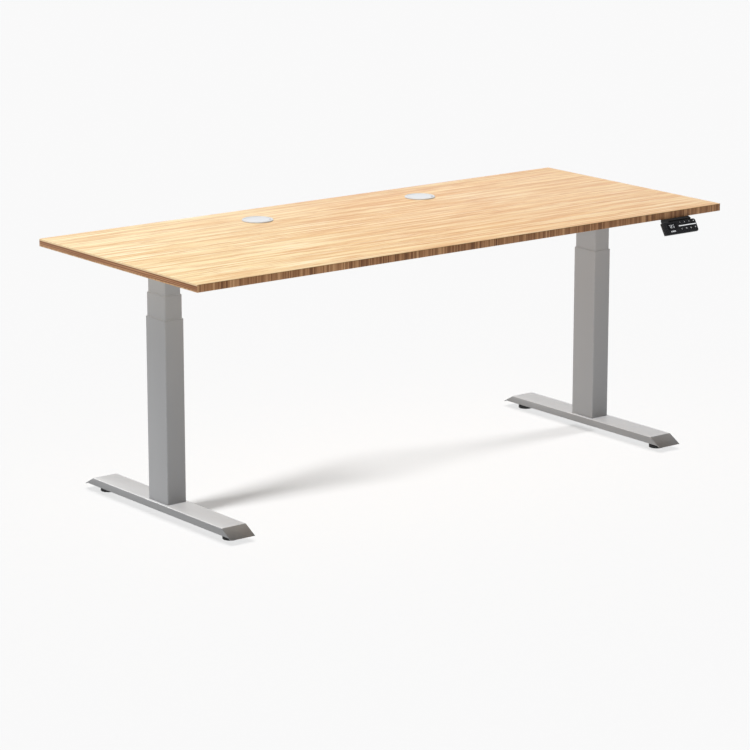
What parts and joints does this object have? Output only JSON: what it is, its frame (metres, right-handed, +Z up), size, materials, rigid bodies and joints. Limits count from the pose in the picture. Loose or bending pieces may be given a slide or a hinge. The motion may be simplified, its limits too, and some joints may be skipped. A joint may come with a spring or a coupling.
{
  "type": "height adjustable standing desk",
  "caption": "Height adjustable standing desk: bamboo top on telescoping electric lifting columns with channel feet, levelling pads, cable grommets and a key handset.",
  "frame": {"origin": "on the floor, centred under the footprint of the whole desk, handset included, with the legs 45 mm a stage above their lowest", "axes": "+X along the desktop to the user's right, -Y towards the user, +Z up"},
  "size_m": [1.8, 0.7798, 0.712],
  "materials": {
    "bamboo": "lacquered bamboo, satin, fine streaks along X and strip ends on the edges",
    "powder_coat": "silver-grey powder coat, semi-gloss",
    "steel": "plain machined steel",
    "brass": "machined",
    "grey_plastic": "moulded, fine grain",
    "white_plastic": "moulded, satin",
    "black_plastic": "moulded, fine texture",
    "face_plate": "smooth black overlay",
    "display": "smoked window, gloss",
    "circuit_board": "solder mask",
    "cable": "PVC jacket, matte",
    "rubber": "matte black, moulded"
  },
  "bodies": {
    "base_left": {"foot_left": "powder_coat", "foot_clamp_plate_left": "steel", "outer_tube_left": "powder_coat", "outer_glide_left": "grey_plastic", "lower_nut_tube_left": "brass"},
    "left_middle": {"middle_tube_left": "powder_coat", "middle_glide_left": "grey_plastic", "upper_nut_tube_left": "brass"},
    "top": {"desktop": "bamboo", "grommet_sleeve_left": "white_plastic", "grommet_sleeve_right": "white_plastic", "side_bracket_left": "powder_coat", "side_bracket_right": "powder_coat", "rail_front": "powder_coat", "rail_back": "powder_coat", "head_casing_left": "grey_plastic", "head_casing_right": "grey_plastic", "motor_left": "steel", "motor_right": "steel", "inner_tube_left": "powder_coat", "inner_tube_right": "powder_coat", "control_box_base": "black_plastic", "control_box_lid": "black_plastic", "control_board": "circuit_board", "mains_inlet": "black_plastic", "handset_case": "black_plastic", "handset_face": "face_plate", "handset_board": "circuit_board", "display_lens": "display", "motor_lead_left": "cable", "motor_lead_right": "cable", "handset_lead": "cable"},
    "right_middle": {"middle_tube_right": "powder_coat", "middle_glide_right": "grey_plastic", "upper_nut_tube_right": "brass"},
    "base_right": {"foot_right": "powder_coat", "foot_clamp_plate_right": "steel", "outer_tube_right": "powder_coat", "outer_glide_right": "grey_plastic", "lower_nut_tube_right": "brass"},
    "spindle_upper_left": {"spindle_upper_left": "steel", "worm_wheel_left": "brass"},
    "spindle_lower_left": {"spindle_lower_left": "steel"},
    "spindle_upper_right": {"spindle_upper_right": "steel", "worm_wheel_right": "brass"},
    "spindle_lower_right": {"spindle_lower_right": "steel"},
    "leveller_left_front": {"leveller_left_front": "rubber"},
    "leveller_left_back": {"leveller_left_back": "rubber"},
    "leveller_right_front": {"leveller_right_front": "rubber"},
    "leveller_right_back": {"leveller_right_back": "rubber"},
    "cap_left": {"grommet_cap_left": "white_plastic"},
    "cap_right": {"grommet_cap_right": "white_plastic"},
    "key_1_1": {"key_1_1": "face_plate"},
    "key_1_2": {"key_1_2": "face_plate"},
    "key_1_3": {"key_1_3": "face_plate"},
    "key_1_4": {"key_1_4": "face_plate"},
    "key_2_1": {"key_2_1": "face_plate"},
    "key_2_2": {"key_2_2": "face_plate"},
    "key_2_3": {"key_2_3": "face_plate"},
    "key_2_4": {"key_2_4": "face_plate"}
  },
  "joints": [
    {"name": "left_lift", "type": "slide", "parent": "base_left", "child": "left_middle", "axis": [0, 0, 1], "range_m": [-0.045, 0.275]},
    {"name": "top_lift", "type": "slide", "parent": "left_middle", "child": "top", "axis": [0, 0, 1], "range_m": [-0.045, 0.275]},
    {"name": "right_middle_lift", "type": "slide", "parent": "top", "child": "right_middle", "axis": [0, 0, -1], "range_m": [-0.045, 0.275]},
    {"name": "right_base_lift", "type": "slide", "parent": "right_middle", "child": "base_right", "axis": [0, 0, -1], "range_m": [-0.045, 0.275]},
    {"name": "screw_upper_left", "type": "hinge", "parent": "top", "child": "spindle_upper_left", "pos_m": [-0.75, 0.018, 0.4], "axis": [0, 0, 1], "range_deg": [-3241, 19801]},
    {"name": "screw_lower_left", "type": "hinge", "parent": "left_middle", "child": "spindle_lower_left", "pos_m": [-0.75, 0.018, 0.4], "axis": [0, 0, 1], "range_deg": [-3241, 19801]},
    {"name": "screw_upper_right", "type": "hinge", "parent": "top", "child": "spindle_upper_right", "pos_m": [0.75, 0.018, 0.4], "axis": [0, 0, 1], "range_deg": [-3241, 19801]},
    {"name": "screw_lower_right", "type": "hinge", "parent": "right_middle", "child": "spindle_lower_right", "pos_m": [0.75, 0.018, 0.4], "axis": [0, 0, 1], "range_deg": [-3241, 19801]},
    {"name": "level_left_front", "type": "slide", "parent": "base_left", "child": "leveller_left_front", "axis": [0, 0, -1], "range_m": [-0.004, 0.01]},
    {"name": "level_left_back", "type": "slide", "parent": "base_left", "child": "leveller_left_back", "axis": [0, 0, -1], "range_m": [-0.004, 0.01]},
    {"name": "level_right_front", "type": "slide", "parent": "base_right", "child": "leveller_right_front", "axis": [0, 0, -1], "range_m": [-0.004, 0.01]},
    {"name": "level_right_back", "type": "slide", "parent": "base_right", "child": "leveller_right_back", "axis": [0, 0, -1], "range_m": [-0.004, 0.01]},
    {"name": "cap_lift_left", "type": "slide", "parent": "top", "child": "cap_left", "axis": [0, 0, 1], "range_m": [0, 0.03]},
    {"name": "cap_lift_right", "type": "slide", "parent": "top", "child": "cap_right", "axis": [0, 0, 1], "range_m": [0, 0.03]},
    {"name": "press_1_1", "type": "slide", "parent": "top", "child": "key_1_1", "axis": [0, 0.8572, -0.515], "range_m": [0, 0.0006], "stiffness_N_per_m": 1500, "springref_m": -0.0003},
    {"name": "press_1_2", "type": "slide", "parent": "top", "child": "key_1_2", "axis": [0, 0.8572, -0.515], "range_m": [0, 0.0006], "stiffness_N_per_m": 1500, "springref_m": -0.0003},
    {"name": "press_1_3", "type": "slide", "parent": "top", "child": "key_1_3", "axis": [0, 0.8572, -0.515], "range_m": [0, 0.0006], "stiffness_N_per_m": 1500, "springref_m": -0.0003},
    {"name": "press_1_4", "type": "slide", "parent": "top", "child": "key_1_4", "axis": [0, 0.8572, -0.515], "range_m": [0, 0.0006], "stiffness_N_per_m": 1500, "springref_m": -0.0003},
    {"name": "press_2_1", "type": "slide", "parent": "top", "child": "key_2_1", "axis": [0, 0.8572, -0.515], "range_m": [0, 0.0006], "stiffness_N_per_m": 1500, "springref_m": -0.0003},
    {"name": "press_2_2", "type": "slide", "parent": "top", "child": "key_2_2", "axis": [0, 0.8572, -0.515], "range_m": [0, 0.0006], "stiffness_N_per_m": 1500, "springref_m": -0.0003},
    {"name": "press_2_3", "type": "slide", "parent": "top", "child": "key_2_3", "axis": [0, 0.8572, -0.515], "range_m": [0, 0.0006], "stiffness_N_per_m": 1500, "springref_m": -0.0003},
    {"name": "press_2_4", "type": "slide", "parent": "top", "child": "key_2_4", "axis": [0, 0.8572, -0.515], "range_m": [0, 0.0006], "stiffness_N_per_m": 1500, "springref_m": -0.0003}
  ],
  "couplings": [
    {"joint": "top_lift", "follows": "left_lift", "ratio": 1},
    {"joint": "right_middle_lift", "follows": "left_lift", "ratio": 1},
    {"joint": "right_base_lift", "follows": "left_lift", "ratio": 1},
    {"joint": "screw_upper_left", "follows": "left_lift", "rad_per_m": 1256.6},
    {"joint": "screw_lower_left", "follows": "left_lift", "rad_per_m": 1256.6},
    {"joint": "screw_upper_right", "follows": "left_lift", "rad_per_m": 1256.6},
    {"joint": "screw_lower_right", "follows": "left_lift", "rad_per_m": 1256.6}
  ]
}
